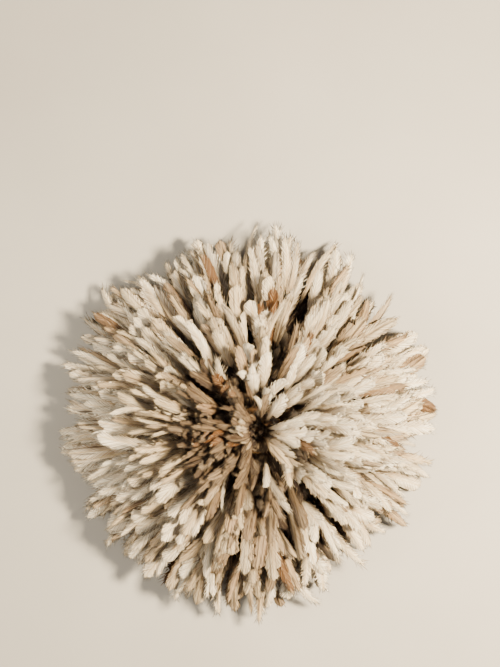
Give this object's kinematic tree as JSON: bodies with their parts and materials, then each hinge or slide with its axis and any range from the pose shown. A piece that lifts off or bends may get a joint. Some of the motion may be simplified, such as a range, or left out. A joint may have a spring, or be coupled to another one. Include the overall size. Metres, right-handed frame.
{
  "type": "feather headdress",
  "caption": "Shaggy dome of ivory feathers with a few russet ones, in rings on a raffia skullcap whose ribs fan out like an umbrella; worn on the head.",
  "frame": {"origin": "centre of the cap's mouth, in the plane of the binding's lower face that the headdress rests on", "axes": "+Z from the mouth to the crown; +X to the right and +Y to the top of the picture"},
  "size_m": [0.6209, 0.6452, 0.178],
  "materials": {
    "raffia": "plaited dry palm fibre, matte",
    "rib": "split palm rib, satin",
    "twine": "twisted fibre twine, matte",
    "feather": "ivory feather vanes, soft satin, some russet"
  },
  "bodies": {
    "root": {"raffia_cap": "raffia", "mouth_binding": "raffia", "rib_01": "rib", "rib_02": "rib", "rib_03": "rib", "rib_04": "rib", "rib_05": "rib", "rib_06": "rib", "rib_07": "rib", "rib_08": "rib", "rib_09": "rib", "rib_10": "rib", "rib_11": "rib", "rib_12": "rib", "rib_13": "rib", "rib_14": "rib", "rib_15": "rib", "rib_16": "rib", "rib_17": "rib", "rib_18": "rib", "rib_19": "rib", "rib_20": "rib", "rib_21": "rib", "rib_22": "rib", "rib_23": "rib", "rib_24": "rib", "rib_lashing": "twine", "twine_ring_inner": "twine", "twine_ring_outer": "twine", "feather_row_01": "feather", "feather_row_02": "feather", "feather_row_03": "feather", "feather_row_04": "feather", "feather_row_05": "feather", "feather_row_06": "feather", "feather_row_07": "feather", "feather_row_08": "feather", "feather_row_09": "feather", "feather_row_10": "feather"}
  },
  "joints": []
}
